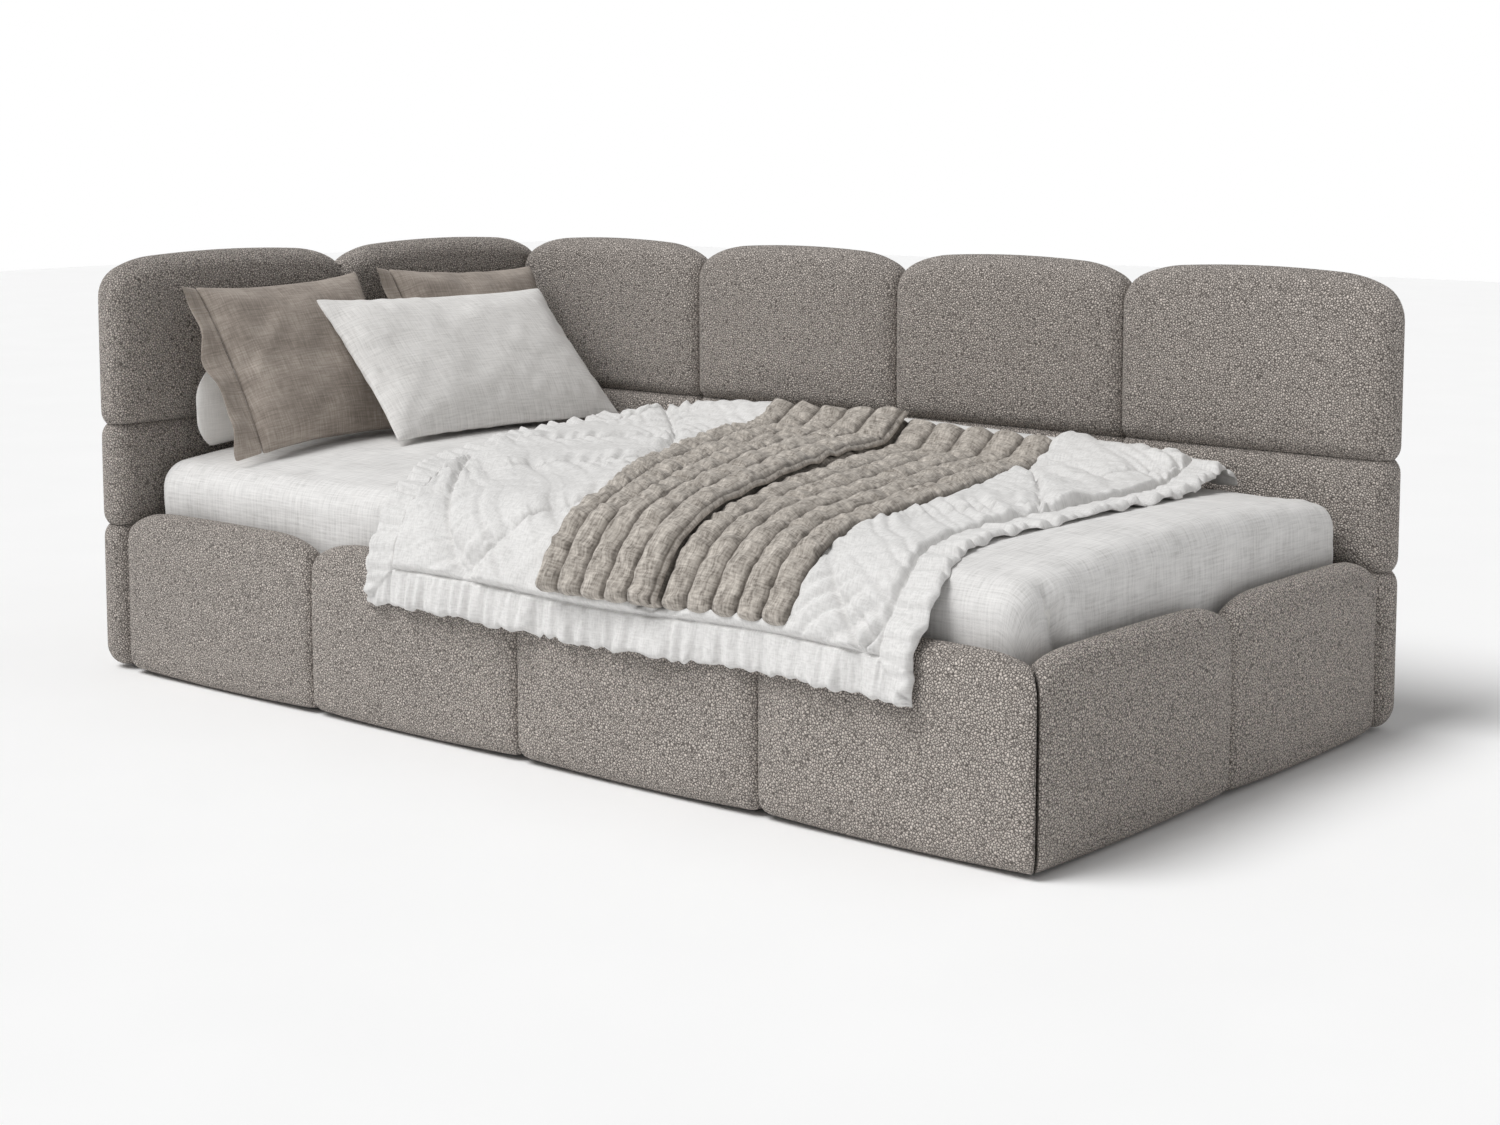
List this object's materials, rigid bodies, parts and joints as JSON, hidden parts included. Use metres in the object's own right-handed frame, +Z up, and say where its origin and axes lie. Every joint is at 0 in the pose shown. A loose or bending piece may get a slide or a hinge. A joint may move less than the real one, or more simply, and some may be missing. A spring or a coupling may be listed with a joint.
{
  "type": "daybed",
  "caption": "Corner daybed with a headboard and long back panel of puffy boucle pads, low padded rails, slatted base, mattress, quilt, throw and pillows.",
  "frame": {"origin": "on the floor, below the middle of the whole daybed with its bedding", "axes": "+X along the mattress from the headboard to the foot rail, +Y from the open front to the long back panel, +Z up"},
  "size_m": [2.2, 1.2117, 0.813],
  "materials": {
    "boucle": "looped boucle upholstery, matt, taupe grey",
    "board": "particle board wrapped in grey-brown lining cloth",
    "pine": "planed pine, unfinished",
    "birch": "laminated birch slat",
    "black_plastic": "moulded black plastic",
    "zinc_plate": "zinc plated sheet steel",
    "screw_steel": "zinc plated screws",
    "mattress_cover": "knitted mattress ticking",
    "sheet_cloth": "off-white linen weave",
    "quilt_cotton": "white crinkled cotton, stitched and filled",
    "throw_cloth": "taupe washed cotton, channel quilted",
    "taupe_linen": "taupe slub linen",
    "light_linen": "light grey slub linen",
    "white_cotton": "white cotton percale"
  },
  "bodies": {
    "root": {"headboard_board": "board", "back_panel_board": "board", "front_rail_board": "board", "foot_rail_board": "board", "headboard_pad_1a": "boucle", "headboard_pad_1b": "boucle", "headboard_pad_2a": "boucle", "headboard_pad_2b": "boucle", "headboard_pad_3a": "boucle", "headboard_pad_3b": "boucle", "back_pad_1a": "boucle", "back_pad_1b": "boucle", "back_pad_1c": "boucle", "back_pad_1d": "boucle", "back_pad_2a": "boucle", "back_pad_2b": "boucle", "back_pad_2c": "boucle", "back_pad_2d": "boucle", "back_pad_3a": "boucle", "back_pad_3b": "boucle", "back_pad_3c": "boucle", "back_pad_3d": "boucle", "front_rail_pad_a": "boucle", "front_rail_pad_b": "boucle", "front_rail_pad_c": "boucle", "front_rail_pad_d": "boucle", "foot_rail_pad_a": "boucle", "foot_rail_pad_b": "boucle", "front_bearer": "pine", "back_bearer": "pine", "head_bearer": "pine", "foot_bearer": "pine", "centre_beam": "pine", "beam_shoes": "zinc_plate", "beam_leg_head": "pine", "beam_leg_foot": "pine", "slats": "birch", "slat_end_pads": "black_plastic", "corner_brackets": "zinc_plate", "bracket_screws": "screw_steel", "glides": "black_plastic", "mattress": "mattress_cover", "fitted_sheet": "sheet_cloth", "quilt": "quilt_cotton", "throw": "throw_cloth", "taupe_pillow_front": "taupe_linen", "taupe_pillow_rear": "taupe_linen", "linen_pillow": "light_linen", "white_pillow": "white_cotton"}
  },
  "joints": []
}
